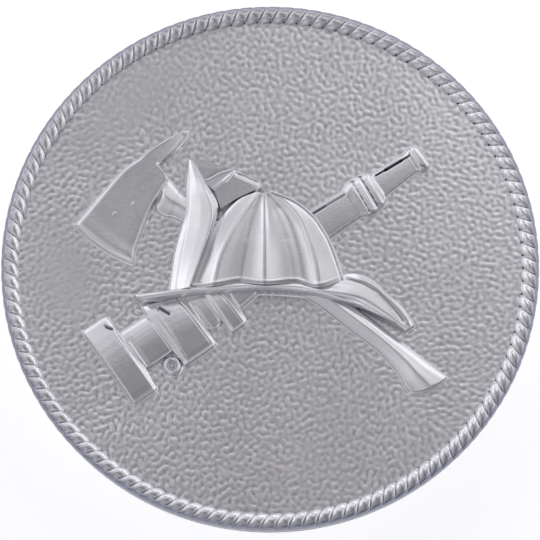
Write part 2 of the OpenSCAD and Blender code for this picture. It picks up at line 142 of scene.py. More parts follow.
# Its stations along the axis, from the coupling to the tip
# columns: distance along; reach above the axis; reach below it; height; how round its section is
HOSE = [
    [-0.66, 2.10, 2.02, 0.40, 1.0],
    [-0.60, 2.17, 2.08, 0.56, 1.0],
    [0.50, 2.17, 2.08, 0.56, 1.0],
    [0.70, 2.12, 2.02, 0.38, 1.0],
    [0.76, 1.13, 0.98, 0.40, 0.7],
    [1.10, 1.13, 1.04, 0.44, 0.7],
    [2.22, 1.10, 1.04, 0.44, 0.7],
    [2.28, 1.10, 1.04, 0.36, 0.7],
    [2.34, 1.56, 1.88, 0.34, 0.7],
    [2.56, 1.53, 1.94, 0.54, 0.7],
    [4.00, 1.02, 1.94, 0.54, 0.7],
    [4.20, 0.93, 1.88, 0.38, 0.7],
    [4.26, 0.84, 1.06, 0.34, 0.5],
    [4.42, 0.83, 1.24, 0.35, 0.5],
    [4.65, 0.82, 1.32, 0.35, 0.5],
    [4.86, 0.82, 1.26, 0.35, 0.5],
    [5.00, 0.82, 1.10, 0.34, 0.5],
    [5.06, 0.80, 1.84, 0.38, 0.8],
    [5.22, 0.80, 1.90, 0.54, 0.8],
    [5.80, 0.80, 1.90, 0.54, 0.8],
    [6.02, 0.80, 1.84, 0.38, 0.8],
    [6.10, 0.80, 1.15, 0.44, 0.2],
    [7.00, 0.86, 1.05, 0.46, 0.2],
    [7.20, 0.87, 1.00, 0.46, 0.2],
    [9.60, 0.92, 0.80, 0.46, 0.2],
    [9.80, 0.92, 0.78, 0.46, 0.2],
    [13.30, 0.77, 0.73, 0.46, 0.2],
    [13.66, 0.95, 0.94, 0.52, 0.6],
    [14.10, 0.97, 0.97, 0.52, 0.6],
    [14.50, 0.92, 0.92, 0.52, 0.6],
    [14.74, 0.78, 0.78, 0.48, 0.6],
    [14.82, 0.66, 0.56, 0.42, 0.3],
    [16.70, 0.60, 0.46, 0.42, 0.3],
    [16.90, 0.67, 0.62, 0.50, 0.4],
    [17.22, 0.69, 0.65, 0.50, 0.4],
    [17.34, 0.64, 0.62, 0.44, 0.4],
    [17.40, 0.58, 0.56, 0.34, 0.4]]
# Its flat and its round section
FLAT_SECTION = [[0, 0.42], [0.03, 0.58], [0.09, 0.82], [0.17, 0.98], [0.21, 1], [0.9, 1], [0.96, 0.92], [1, 0.62]]
ROUND_SECTION = [
    [0, 0.36], [0.04, 0.51], [0.1, 0.64], [0.2, 0.79], [0.3, 0.89], [0.4, 0.957], [0.5, 0.992], [0.56, 1.0],
    [0.63, 0.99], [0.7, 0.965], [0.8, 0.90], [0.9, 0.80], [0.96, 0.70], [1, 0.52]]
# Its raised and cut lines
# columns: along and over of one end; of the other end; half width; depth, less than 0 if raised; painted shade in the
# cut
HOSE_LINES = [
    [0.36, 1.72, 0.52, 1.44, 0.070, 0.09, 1.00],       # notch of the coupling
    [0.44, 1.40, 0.58, -1.98, 0.022, 0.02, 0.30],
    [0.84, 0.44, 0.84, -0.96, 0.030, -0.04, 0.00],
    [2.88, 1.12, 2.58, -1.70, 0.024, 0.03, 0.25],      # rims of the middle block
    [2.98, 1.02, 3.16, 0.52, 0.075, 0.09, 1.00],
    [3.90, 0.92, 3.96, -1.82, 0.026, 0.04, 0.55],
    [4.40, 0.20, 4.40, -1.10, 0.030, 0.03, 0.25],
    [5.68, 0.60, 5.76, -1.78, 0.024, 0.02, 0.25],
    [11.20, 0.62, 12.20, 0.57, 0.045, 0.07, 0.85],     # line along the barrel
    [12.20, 0.57, 13.26, 0.49, 0.030, 0.05, 0.60],
    [11.10, 0.74, 13.30, 0.60, 0.040, -0.05, 0.00],
    [13.92, 0.94, 13.74, -0.94, 0.045, 0.08, 0.34],    # rings of the collar
    [14.16, 0.94, 13.98, -0.94, 0.055, -0.06, 0.00],
    [14.36, 0.94, 14.20, -0.94, 0.045, 0.09, 0.50],
    [14.58, 0.86, 14.44, -0.88, 0.045, -0.04, 0.00],
    [13.86, 0.95, 13.98, 0.80, 0.045, 0.05, 0.90],
    [14.32, 0.93, 14.40, 0.80, 0.045, 0.05, 0.80],
    [13.78, -0.76, 13.90, -0.92, 0.070, 0.02, 0.45],
    [14.30, -0.72, 14.42, -0.88, 0.070, 0.02, 0.45],
    [14.98, 0.44, 15.60, 0.40, 0.040, 0.11, 1.00],     # slit of the tip
    [15.50, 0.405, 16.40, 0.345, 0.062, 0.13, 1.00],
    [16.40, 0.345, 16.86, 0.31, 0.035, 0.11, 1.00],
    [16.90, 0.40, 16.84, -0.50, 0.035, 0.03, 0.20],
    [17.04, 0.62, 17.00, -0.30, 0.060, 0.05, 0.20],
    [17.00, -0.36, 17.12, -0.54, 0.070, 0.04, 0.85]]
# Round lug beside its first neck: along and over of its middle
# columns: radius, height and painted shade in its hollow and at its foot, from the middle outwards
LUG_AT = [1.86, -1.58]
LUG = [[0.00, 0.30, 0.10], [0.06, 0.30, 0.10], [0.13, 0.24, 0.25], [0.19, 0.25, 0.25], [0.25, 0.34, 0.00],
       [0.31, 0.40, 0.00], [0.37, 0.37, 0.00], [0.42, 0.26, 0.00], [0.45, 0.12, 0.05], [0.47, 0.05, 0.20],
       [0.52, 0.01, 0.00], [0.54, -0.03, 0.00]]
LUG_SIDES, LUG_STEPS = 48, 3

# Helmet crown: lines from the top of the dome to the brim, left to right
CROWN = [
    [[-0.66, 3.58, 0.56], [-1.50, 3.22, 0.56], [-2.25, 2.45, 0.56], [-2.78, 1.55, 0.58],
     [-3.22, 0.30, 0.60], [-3.80, -1.25, 0.62]],
    [[-0.60, 3.56, 0.61], [-1.40, 3.12, 0.66], [-2.10, 2.32, 0.70], [-2.54, 1.42, 0.73],
     [-2.90, 0.26, 0.76], [-3.42, -1.25, 0.79]],
    [[-0.50, 3.52, 0.66], [-1.00, 2.80, 0.80], [-1.55, 1.95, 0.90], [-2.00, 1.10, 0.98],
     [-2.40, 0.15, 1.04], [-2.70, -1.25, 1.08]],
    [[-0.40, 3.50, 0.66], [-0.62, 2.90, 0.70], [-0.85, 2.20, 0.76], [-1.05, 1.30, 0.82],
     [-1.25, 0.25, 0.87], [-1.46, -1.20, 0.92]],
    [[-0.28, 3.48, 0.68], [-0.27, 2.65, 0.86], [-0.26, 1.85, 0.98], [-0.25, 0.95, 1.08],
     [-0.25, -0.05, 1.15], [-0.25, -1.25, 1.20]],
    [[-0.16, 3.50, 0.66], [0.15, 2.90, 0.70], [0.45, 2.20, 0.76], [0.75, 1.30, 0.82],
     [1.00, 0.25, 0.87], [1.22, -1.20, 0.92]],
    [[-0.06, 3.52, 0.66], [0.75, 2.92, 0.80], [1.40, 2.12, 0.90], [1.78, 1.25, 0.98],
     [2.08, 0.20, 1.04], [2.30, -1.25, 1.08]],
    [[0.10, 3.60, 0.60], [1.20, 3.15, 0.60], [2.10, 2.40, 0.60], [2.75, 1.40, 0.62],
     [3.20, 0.30, 0.66], [3.62, -1.20, 0.72]]]
# height of the swell between each line and the next
CROWN_SWELL = [0.00, 0.00, -0.05, -0.06, -0.08, -0.12, 0.03]
SWELL_FADE = 0.25       # share of the way down by which the swell is full
HELMET_STEPS, HELMET_ACROSS = 16, 24
CROWN_SOFT, SHIELD_SOFT = 1.6, 2.0
CROWN_EDGE_R = 0.06
# Lines on the crown: its number in the table; shift to the left of it; half width; depth; painted shade along the
# line
CROWN_LINES = [
    [2, -0.05, 0.090, -0.010, 0.00],
    [2, 0.06, 0.030, 0.025, 0.40],
    [3, 0.00, 0.150, 0.020, 0.28],
    [3, -0.20, 0.300, 0.000, 0.10],
    [4, 0.00, 0.030, 0.030, 0.50],
    [5, 0.00, 0.150, 0.020, 0.28],
    [5, -0.20, 0.360, 0.000, 0.18],
    [6, -0.05, 0.090, -0.015, 0.00],
    [6, 0.06, 0.030, 0.025, 0.40],
    [7, -0.14, 0.035, 0.050, 0.45],
    [7, -0.06, 0.035, -0.030, 0.00]]
# The valleys beside its middle rib, darkened by painted shade: numbers in the table, part of the line; half width;
# depth; painted shade
CROWN_VALLEYS = [3, 5]
VALLEY_PART = slice(8, 50)
VALLEY_LINE = [0.12, 0.01, 0.28]
# Lines along its foot: shift up from the brim; half width; depth; painted shade, a painted shadow where the crown
# meets the brim
CROWN_FOOT_LINES = [[0.10, 0.045, -0.05, 0.0], [0.01, 0.035, 0.03, 0.6]]

# Helmet brim: lines from its front tip to its back tip, front edge first
BRIM = [
    [[-6.05, -1.78, 0.35], [-5.00, -1.66, 0.45], [-3.70, -1.46, 0.50], [-2.65, -1.38, 0.50],
     [-1.45, -1.30, 0.50], [-0.25, -1.26, 0.50], [1.20, -1.34, 0.50], [2.30, -1.50, 0.50],
     [3.30, -1.76, 0.40], [4.10, -2.00, 0.32], [4.80, -2.32, 0.28], [5.50, -2.66, 0.26],
     [6.00, -2.93, 0.25], [6.42, -3.18, 0.25]],
    [[-6.10, -1.72, 0.62], [-5.00, -1.58, 0.76], [-3.70, -1.38, 0.82], [-2.65, -1.30, 0.84],
     [-1.45, -1.22, 0.85], [-0.25, -1.18, 0.85], [1.20, -1.26, 0.85], [2.30, -1.42, 0.84],
     [3.30, -1.66, 0.76], [4.10, -1.90, 0.70], [4.78, -2.21, 0.62], [5.48, -2.56, 0.54],
     [5.98, -2.84, 0.46], [6.40, -3.13, 0.36]],
    [[-6.16, -1.66, 0.74], [-5.02, -1.50, 0.88], [-3.70, -1.30, 0.94], [-2.65, -1.22, 0.96],
     [-1.45, -1.12, 0.97], [-0.25, -1.12, 0.97], [1.20, -1.16, 0.97], [2.30, -1.34, 0.96],
     [3.30, -1.52, 0.78], [4.10, -1.75, 0.61], [4.72, -2.06, 0.54], [5.42, -2.46, 0.48],
     [5.96, -2.80, 0.43], [6.43, -3.09, 0.38]],
    [[-6.24, -1.60, 0.76], [-5.05, -1.42, 0.88], [-3.70, -1.22, 0.93], [-2.65, -1.16, 0.95],
     [-1.45, -1.02, 0.96], [-0.25, -1.08, 0.96], [1.20, -1.06, 0.96], [2.30, -1.26, 0.95],
     [3.29, -1.42, 0.90], [4.15, -1.59, 0.77], [4.76, -1.89, 0.70], [5.47, -2.36, 0.62],
     [5.99, -2.77, 0.52], [6.48, -3.06, 0.42]],
    [[-6.32, -1.54, 0.74], [-5.08, -1.36, 0.83], [-3.70, -1.17, 0.86], [-2.65, -1.11, 0.87],
     [-1.45, -0.92, 0.87], [-0.25, -1.04, 0.87], [1.20, -0.95, 0.87], [2.30, -1.19, 0.87],
     [3.45, -1.04, 0.76], [4.34, -1.04, 0.66], [5.08, -1.54, 0.60], [5.74, -2.12, 0.53],
     [6.22, -2.62, 0.46], [6.56, -3.00, 0.40]],
    [[-6.39, -1.48, 0.70], [-5.10, -1.30, 0.76], [-3.70, -1.12, 0.78], [-2.65, -1.06, 0.78],
     [-1.45, -0.86, 0.78], [-0.25, -1.00, 0.78], [1.20, -0.88, 0.78], [2.30, -1.12, 0.78],
     [3.58, -0.72, 0.72], [4.55, -0.84, 0.68], [5.38, -1.48, 0.62], [6.00, -2.06, 0.56],
     [6.42, -2.58, 0.50], [6.66, -2.92, 0.38]],
    [[-6.45, -1.42, 0.50], [-5.10, -1.26, 0.55], [-3.70, -1.08, 0.55], [-2.65, -1.02, 0.55],
     [-1.45, -0.82, 0.55], [-0.25, -0.97, 0.55], [1.20, -0.84, 0.55], [2.30, -1.08, 0.55],
     [3.55, -0.40, 0.50], [4.66, -0.57, 0.45], [5.56, -1.33, 0.42], [6.18, -1.92, 0.40],
     [6.60, -2.50, 0.34], [6.78, -2.84, 0.26]]]
BRIM_STEPS, BRIM_ACROSS = 14, 12
BRIM_SOFT_ACROSS, BRIM_SOFT_ALONG = 2.5, 1.5
# Line of painted shade along its front edge: half width; depth; painted shade
BRIM_FRONT_LINE = [0.05, 0.0, 0.35]
# Bright lip at its front tip, groove along its leaf and band of painted shade outside it; half width; depth; painted
# shade
BRIM_LINES = [
    [[[-6.45, -1.50], [-6.14, -1.73]], 0.05, -0.06, 0.00],
    [[[3.60, -0.70], [4.40, -0.92], [5.10, -1.32], [5.62, -1.84], [6.02, -2.32], [6.28, -2.66]], 0.09, 0.06, 0.50],
    [[[4.30, -0.66], [5.36, -1.28], [6.00, -1.92], [6.44, -2.52]], 0.18, 0.00, 0.34]]
# Number of its line under which crown and shield end, and how far past it
FOOT_LINE, PAST_FOOT = 5, 0.05

# Front shield: lines from its tip to the brim, left to right
SHIELD = [
    [[-3.90, 5.12, 0.42], [-3.96, 3.95, 0.46], [-3.96, 2.80, 0.48], [-4.20, 1.75, 0.48],
     [-4.50, 0.55, 0.48], [-4.74, -1.30, 0.48]],
    [[-3.84, 5.14, 0.50], [-3.78, 3.85, 0.62], [-3.80, 2.70, 0.66], [-3.96, 1.65, 0.66],
     [-4.20, 0.40, 0.66], [-4.48, -1.30, 0.66]],
    [[-3.76, 5.12, 0.54], [-3.50, 3.90, 0.80], [-3.30, 2.75, 0.88], [-3.38, 1.70, 0.90],
     [-3.66, 0.45, 0.90], [-4.14, -1.30, 0.90]],
    [[-3.69, 5.10, 0.54], [-3.20, 3.82, 0.92], [-2.72, 2.65, 1.03], [-2.84, 1.65, 1.06],
     [-3.22, 0.45, 1.06], [-3.84, -1.30, 1.06]],
    [[-3.60, 5.06, 0.45], [-2.98, 3.92, 0.62], [-2.45, 2.86, 0.66], [-2.66, 1.72, 0.64],
     [-3.08, 0.48, 0.64], [-3.72, -1.30, 0.64]]]
# Lines on it: its number in the table; shift to the left of it; first point; half width; depth; painted shade
SHIELD_LINES = [[3, 0.03, 0, 0.03, 0.02, 0.40], [1, 0.0, 40, 0.025, 0.015, 0.18]]

# Shield bracket: corners, then its flat facets by corner
BRACKET = [
    [-3.45, 5.22, 0.42], [-3.72, 4.80, 0.42], [-3.02, 4.02, 0.42], [-1.70, 4.62, 0.52],
    [-2.85, 3.84, 0.30], [-2.62, 3.60, 0.60], [-1.70, 4.42, 0.62], [-0.50, 4.12, 0.58],
    [-0.36, 3.80, 0.52], [-0.65, 3.66, 0.60], [-1.50, 3.26, 0.60], [-2.34, 2.72, 0.59]]
BRACKET_FACETS = [[0, 1, 3], [1, 2, 3], [2, 4, 3], [4, 6, 3], [4, 5, 6], [5, 11, 10], [5, 10, 6],
                  [6, 10, 9], [6, 9, 7], [7, 9, 8], [3, 6, 7]]
BRACKET_CUTS = 60       # small triangles along each side of a facet
BRACKET_FLARE = 0.05
# Lines on the bracket, as points in plan; half width; depth, less than 0 if raised; painted shade in the cut
BRACKET_LINES = [
    [[[-2.96, 4.24], [-2.42, 4.55], [-1.90, 4.71]], 0.050, 0.04, 0.55],
    [[[-2.60, 3.69], [-2.09, 4.02], [-1.74, 4.44]], 0.045, -0.07, 0.00],
    [[[-1.62, 4.52], [-1.05, 4.40], [-0.48, 4.16]], 0.050, -0.06, 0.00],
    [[[-1.60, 4.30], [-1.08, 4.06], [-0.62, 3.86]], 0.045, -0.05, 0.00],
    [[[-1.50, 4.42], [-1.06, 4.24], [-0.60, 4.02]], 0.035, 0.04, 0.45]]

# Rope border: strands; their lean over half a turn; depth of the grooves between them; steps across a strand;
# how round its section is
STRANDS = 120
STRAND_LEAN = 0.85
STRAND_CUT = 0.17
STRAND_STEPS = 16
STRAND_ROUND = 0.97
# Degrees round its section: 0 at its inner side, 90 on its crest, 180 at its outer side
ROPE_ANGLES = np.concatenate([[-48, -30, -15], np.arange(0, 181, 8), [184, 195, 210, 228]])
SEATED_BEFORE, SEATED_AFTER = -40, 220
# The grooves grow from the inner side and fade to the outer one: where, over how many degrees, and the least share
GROOVE_FROM, GROOVE_GROWS, GROOVE_TO, GROOVE_FADES, GROOVE_LEAST = -30, 30, 178, 75, 0.22
# painted shade in the grooves between strands
GROOVE_SHADE = 0.15
# Its painted shade and painted dark reflection round the rim, darker where the rope faces away from the light
# columns: clock hour; share on its inner side, its crest and its outer edge
RIM_SHADE = [
    [0, 0.34, 0.30, 0.85], [1, 0.22, 0.08, 0.80], [2, 0.02, 0.02, 0.65], [3, 0.00, 0.00, 0.60], [4, 0.00, 0.00, 0.75],
    [5, 0.00, 0.00, 0.75], [6, 0.00, 0.00, 0.35], [7, 0.00, 0.00, 0.15], [8, 0.00, 0.00, 0.15], [9, 0.02, 0.00, 0.45],
    [10, 0.16, 0.06, 0.70], [11, 0.30, 0.22, 0.80], [12, 0.34, 0.30, 0.85]]
RIM_START_HOUR = 3
# where each of the three lies on the section: its edge or middle, and the degrees over which it fades
INNER_TO, INNER_FADES = 85, 30
CREST_AT, CREST_FADES, CREST_FULL = 95, 30, 1.6
OUTER_FROM, OUTER_FADES = 132, 26

# Disc: points along the field's grid; rings from there down its side and over its back, by radius and height
FIELD_POINTS = 297
PLATE_RINGS = [
    [FIELD_R, FIELD_Z - 0.06], [FIELD_R, SEAT_Z], [PLATE_R, SEAT_Z], [PLATE_R, BACK_Z + 0.12],
    [PLATE_R - 0.035, BACK_Z + 0.035], [PLATE_R - 0.12, BACK_Z], [PLATE_R - 1.0, BACK_Z],
    [PLATE_R - 4.0, BACK_Z], [3.0, BACK_Z]]
# Stipple of the field: height of its spread; shortest and longest wave; most spreads from the middle; its grid
STIPPLE = 0.0065
STIPPLE_WAVES = (0.24, 0.52)
STIPPLE_MOST = 2.2
STIPPLE_SEED, STIPPLE_CELLS, STIPPLE_CELL, STIPPLE_REACH = 7, 520, 0.047, 12.1
# change of its height to the left and to the right: share; x where it starts; distance over which it grows
STIPPLE_DRIFT = [[0.4, -1, -5], [-0.1, 5, 3]]
# its painted shade: at middle height; more for each spread down into a dimple, where shade falls; at most
DIMPLE_SHADE = [0.12, 0.15, 0.45]
# places where the stipple is worn smooth, in mm
# columns: x, y; half length; half width; lean in degrees; share that is gone
SMOOTH_SPOTS = [
    [-9.70, -0.40, 2.4, 1.7, 100, 0.85],
    [-6.40, 8.10, 4.0, 1.2, 40, 0.72],
    [2.10, -8.60, 2.6, 2.0, 60, 0.30]]

# -------------------- colours, lights and camera
# dark colour towards which painted shade darkens the metal
SHADE_COLOUR = (0.09, 0.085, 0.095)
CLOUD_EDGES = (0.32, 0.68)      # of the noise, from the deep colour to the pale one
PATINA_FINER = 6                # times finer than the clouds

# Floor: half its width in metres; its grey; its glow
FLOOR_HALF = 1.5
FLOOR_GREY = 0.9
FLOOR_GLOW = 0.46
# Soft light from all round the badge, and soft lamps far off, added to it
AMBIENT = (0.01, 0.01, 0.01)
LAMP_TINT = (0.985, 0.967, 1.02)
# columns: azimuth and elevation of the middle; half angle of the full and of the faded light; its strength
LAMPS = [
    [90, 90, 4, 40, 0.15],
    [45, 74, 2, 20, 0.10],
    [90, 58, 2, 20, 0.50],
    [210, 60, 4, 40, 0.25],
    [270, 60, 4, 40, 0.10],
    [0, 30, 4, 42, 0.40],
    [45, 30, 4, 42, 0.10],
    [90, 30, 4, 42, 0.30],
    [135, 30, 4, 42, 0.55],
    [180, 30, 4, 42, 0.35],
    [225, 30, 4, 42, 0.20],
    [270, 30, 4, 42, 0.35],
    [315, 30, 4, 42, 0.20],
    [22, 3, 4, 42, 0.85],
    [68, 3, 4, 42, 0.85],
    [112, 3, 4, 42, 0.50],
    [158, 3, 4, 42, 0.60],
    [202, 3, 4, 42, 0.25],
    [248, 3, 4, 42, 0.50],
    [338, 3, 4, 42, 0.60]]
# near soft lamps, over the badge's upper left and upper right
# columns: azimuth and elevation; distance from the badge and radius in mm; power in watts
NEAR_LAMPS = [
    [142, 38, 70, 37, 0.0003],
    [10, 58, 70, 24, 0.0012],
    [60, 58, 70, 24, 0.0010],
    [160, 58, 70, 24, 0.0013],
    [50, 40, 45, 20, 0.0013]]

# Camera: its elevation in degrees, the place that it aims at, its distance in metres, and what it takes in
CAMERA_ELEVATION = 77.0
CAMERA_AIM = (-0.005, -0.108, FIELD_Z)
CAMERA_AWAY = 0.6
CAMERA_CLIP = (0.01, 20)
SENSOR = 36
PICTURE_PIXELS, MM_PER_PIXEL = 540, 0.04718
FRAME_MM = PICTURE_PIXELS * MM_PER_PIXEL


# -------------------- curves and grids
def smooth(points, steps):
    """Points of the smooth curve through the given ones, with a number of steps between them."""
    p = np.asarray(points, float)
    ends = np.vstack([p[:1], p, p[-1:]])
    f = np.linspace(0, 1, steps, endpoint=False)[:, None]
    out = []
    for i in range(len(p) - 1):
        a, b, c, d = ends[i:i + 4]
        out.append(b + f * (c - a) / 2 + f * f * (2 * a - 5 * b + 4 * c - d) / 2
                   + f ** 3 * (3 * b - a - 3 * c + d) / 2)
    return np.vstack(out + [p[-1:]])


def straight(points, steps):
    """Points of the broken line through the given ones."""
    p = np.asarray(points, float)
    f = np.linspace(0, 1, steps, endpoint=False)[:, None]
    return np.vstack([p[i] + f * (p[i + 1] - p[i]) for i in range(len(p) - 1)] + [p[-1:]])


def blur(grid, sigma, axis):
    """The grid softened along an axis, with its ends held. sigma is in grid steps."""
    reach = max(1, int(3 * sigma))
    k = np.exp(-0.5 * (np.arange(-reach, reach + 1) / sigma) ** 2)
    k /= k.sum()
    g = np.moveaxis(grid, axis, 0)
    first, last = g[:1], g[-1:]
    pad = np.concatenate([2 * first - g[reach:0:-1], g, 2 * last - g[-2:-reach - 2:-1]])
    out = sum(w * pad[i:i + len(g)] for i, w in enumerate(k))
    return np.moveaxis(out, 0, axis)


def across_lines(lines, steps, along_steps, swell=None):
    """A dense grid, rows across, from lines along the figure. swell raises the middle of each panel."""
    rails = np.array([np.pad(smooth(line, along_steps), ((0, 0), (0, 1))) for line in lines])
    rows = np.array([straight(rails[:, i], steps) for i in range(rails.shape[1])])
    if swell is not None:
        fade = np.clip(np.linspace(0, 1, len(rows)) / SWELL_FADE, 0, 1)
        u = np.linspace(0, 1, steps, endpoint=False)
        hump = np.concatenate([s * 4 * u * (1 - u) for s in swell] + [[0]])
        rows[:, :, Z] += fade[:, None] * hump[None, :]
    return rows


def plan_steps(row):
    """Distance in plan from each point of a row to the next."""
    return np.hypot(np.diff(row[:, X]), np.diff(row[:, Y]))


def distances(row):
    """Distance of each point of a row from its start, measured along it in plan."""
    return np.concatenate([[0], np.cumsum(plan_steps(row))])


def at_shares(row, shares):
    """Points of a row at shares of its length."""
    s = distances(row)
    return np.stack([np.interp(shares * s[-1], s, row[:, k]) for k in range(row.shape[1])], 1)


def soft_stations(length, count, radius):
    """Shares of a length with a rounded edge at each end, and how far each is let down."""
    turns = np.radians(EDGE_TURNS)
    r = min(radius, EDGE_SHARE * length)
    edge = r * (1 - np.cos(turns))
    stations = np.concatenate([edge, np.linspace(r, length - r, count), length - edge[::-1]]) / length
    down = np.concatenate([1 - np.sin(turns), np.zeros(count), (1 - np.sin(turns))[::-1]])
    return stations, down * r


def resampled(base, spacing, radius):
    """A grid with even spacing and rounded edges over a dense one."""
    n, m = base.shape[:2]
    middle = base[:, m // 2]
    length = plan_steps(middle).sum()
    shares, row_down = soft_stations(length, max(4, round(length / spacing)), radius)
    s = distances(middle)
    index = np.interp(shares * s[-1], s, np.arange(n))
    widest = max(plan_steps(row).sum() for row in base)
    count = max(4, round(widest / spacing))
    out = []
    for at, let_down in zip(index, row_down):
        i = min(int(at), n - 2)
        row = base[i] + (at - i) * (base[i + 1] - base[i])
        across, down = soft_stations(plan_steps(row).sum(), count, radius)
        points = at_shares(row, across)
        points[:, Z] -= np.minimum(np.minimum(radius, let_down + down), 0.5 * points[:, Z])
        out.append(points)
    return np.array(out)


def ended_at(base, edge):
    """The grid with each of its columns ended a little past a line, given as points in plan."""
    n = len(base)
    out = base.copy()
    for j in range(base.shape[1]):
        column = base[:, j]
        over = column[:, Y] - (np.interp(column[:, X], edge[:, X], edge[:, Y]) - PAST_FOOT)
        below = np.nonzero(over < 0)[0]
        stop = n - 1.0
        if len(below) and below[0] > 0:
            k = below[0]
            stop = k - 1 + over[k - 1] / (over[k - 1] - over[k])
        index = np.linspace(0, stop, n)
        for axis in range(column.shape[1]):
            out[:, j, axis] = np.interp(index, np.arange(n), column[:, axis])
    return out


def lined(base, line, width, depth, painted_shade=0.0):
    """The grid with a line in plan cut in, or raised if depth is less than 0, and darkened by painted shade along it.
    """
    line = np.asarray(line, float)[:, :2]
    q = base[:, :, :2]
    away = np.full(q.shape[:2], np.inf)
    for a, b in zip(line[:-1], line[1:]):
        along = b - a
        share = np.clip(((q - a) @ along) / max(along @ along, TINY), 0, 1)
        away = np.minimum(away, np.linalg.norm(q - a - share[..., None] * along, axis=2))
    out = base.copy()
    near = np.exp(-(away / width) ** 2)
    out[:, :, Z] -= depth * near
    out[:, :, SHADE] = np.maximum(out[:, :, SHADE], painted_shade * near)
    return out


def beside(line, shift):
    """A line moved sideways in plan, to its left if the shift is more than 0."""
    line = np.asarray(line, float)
    along = np.gradient(line[:, :2], axis=0)
    along /= np.linalg.norm(along, axis=1)[:, None]
    out = line.copy()
    out[:, X] -= along[:, Y] * shift
    out[:, Y] += along[:, X] * shift
    return out


# -------------------- pieces from grids
def add_mesh(name, points, faces, material, slot, node, sharp=SHARP):
    """A smooth-shaded piece from points in millimetres, with painted shade as their fourth number."""
    mesh = bpy.data.meshes.new(name)
    points = np.asarray(points, float)
    mesh.from_pydata((points[:, :3] * MM).tolist(), [], faces)
    painted_shade = mesh.attributes.new("painted_shade", "FLOAT", "POINT")
    painted_shade.data.foreach_set("value", points[:, SHADE].astype(np.float32))
    work = bmesh.new()
    work.from_mesh(mesh)
    bmesh.ops.recalc_face_normals(work, faces=work.faces)
    work.to_mesh(mesh)
    work.free()
    mesh.shade_smooth()
    mesh.set_sharp_from_angle(angle=math.radians(sharp))
    piece = bpy.data.objects.new(name, mesh)
    bpy.context.scene.collection.objects.link(piece)
    mesh.materials.append(material)
    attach(piece, "root")
    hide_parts(node)


def grid_rim(n, m):
    """Numbers of the points round the rim of a grid."""
    return np.array(list(range(m)) + [i * m + m - 1 for i in range(1, n)]
                    + [(n - 1) * m + j for j in range(m - 2, -1, -1)] + [i * m for i in range(n - 2, 0, -1)])


def grid_faces(n, m):
    """Four-sided faces of a grid."""
    a = np.arange(n - 1)[:, None] * m + np.arange(m - 1)[None, :]
    return np.stack([a, a + 1, a + m + 1, a + m], -1).reshape(-1, 4)


def hung_rings(points, faces, rim, rings):
    """Points and faces with rings of points hung under a rim, and the numbers of the last ring."""
    stack, upper, first = [points], rim, len(points)
    for ring in rings:
        stack.append(ring)
        lower = first + np.arange(len(rim))
        faces = faces + np.stack([upper, lower, np.roll(lower, -1), np.roll(upper, -1)], 1).tolist()
        upper, first = lower, first + len(rim)
    return np.vstack(stack), faces, upper


def outward(loop, times):
    """Level directions that point out of a closed loop, softened along it."""
    ahead, behind = np.roll(loop, -1, 0), np.roll(loop, 1, 0)
    turn = np.sum(loop[:, X] * ahead[:, Y] - ahead[:, X] * loop[:, Y])
    along = (ahead - behind)[:, :2] * (1 if turn > 0 else -1)
    out = np.stack([along[:, 1], -along[:, 0]], 1)
    for _ in range(times + 1):
        out /= np.maximum(np.linalg.norm(out, axis=1), TINY)[:, None]
        out = (np.roll(out, 1, 0) + 2 * out + np.roll(out, -1, 0)) / 4
    return out / np.maximum(np.linalg.norm(out, axis=1), TINY)[:, None]


def closed_relief(points, faces, rim, flare, times=2, share_up=1.0):
    """The solid under a surface: its wall turns out in a small fillet where it meets the field.

    flare is the fillet's width, times how often its direction is softened, and share_up how far up the
    wall its rings may stand.
    """
    loop = points[rim]
    out = outward(loop, times)
    levels = [(0.5 * loop[:, Z], 0.0, 0.0)]
    # the rings of a wall carry painted shade, darker low on the wall
    levels += [(np.minimum(level, share_up * loop[:, Z]), share, painted_shade) for level, share, painted_shade in WALL_RINGS]
    levels += [(np.full(len(rim), WALL_FOOT), 1.0, 0.0)]
    rings = [np.column_stack([loop[:, :2] + out * flare * share, z, np.full(len(rim), painted_shade)])
             for z, share, painted_shade in levels]
    points, faces, last = hung_rings(points, faces, rim, rings)
    return points, faces + [last[::-1].tolist()]


def add_relief(name, node, points, faces, sharp=SHARP):
    """A piece of the emblem, set on the field."""
    points = np.array(points, float)
    points[:, Z] += FIELD_Z
    add_mesh(name, points, faces, bright, "bright_nickel", node, sharp)


def add_grid(name, node, base, spacing=SPACING, radius=EDGE_R):
    """A piece of the emblem from its dense grid."""
    grid = resampled(base, spacing, radius)
    n, m, size = grid.shape
    solid = closed_relief(grid.reshape(-1, size), grid_faces(n, m).tolist(), grid_rim(n, m),
                          WALL_FLARE, share_up=WALL_SHARE)
    add_relief(name, node, *solid)


# -------------------- materials
def node_tree(owner):
    """The emptied node tree of a material or of the world."""
    owner.use_nodes = True
    owner.node_tree.nodes.clear()
    return owner.node_tree


